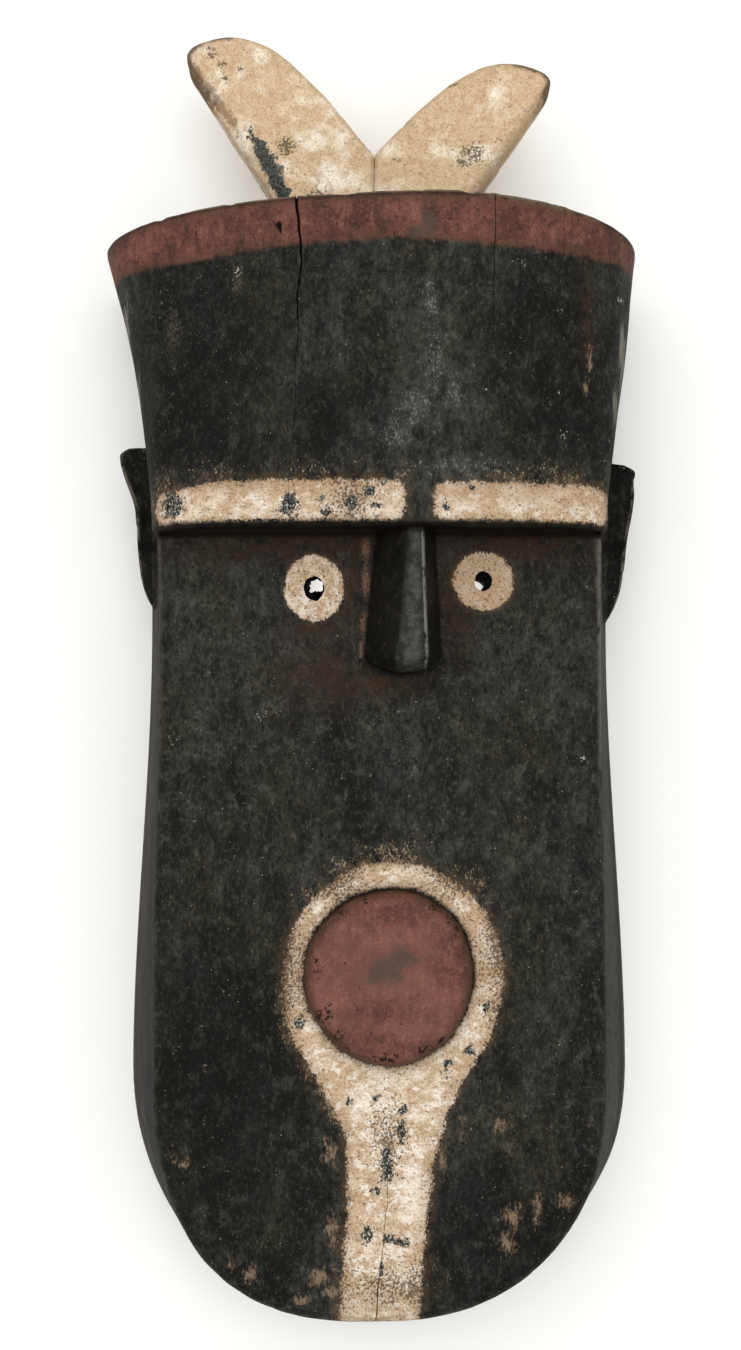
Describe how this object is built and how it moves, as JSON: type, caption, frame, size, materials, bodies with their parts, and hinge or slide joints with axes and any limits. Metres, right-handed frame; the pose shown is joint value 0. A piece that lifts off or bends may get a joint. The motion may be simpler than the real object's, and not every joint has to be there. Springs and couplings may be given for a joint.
{
  "type": "carved wooden mask",
  "caption": "Carved wooden face mask with a flared forehead, horns, a ridge nose, a round mouth and a hollow back, lying on its back rim.",
  "frame": {"origin": "middle of the box around the mask, on the plane of its back rim", "axes": "+X to the viewer's right, +Y along the mask towards the horns, +Z out of the face"},
  "size_m": [0.24, 0.5699, 0.1017],
  "materials": {
    "painted_wood": "matte charcoal paint on carved wood, with cream and brick red painted areas, worn and cracked along the grain"
  },
  "bodies": {
    "root": {"toma_mask": "painted_wood"}
  },
  "joints": []
}
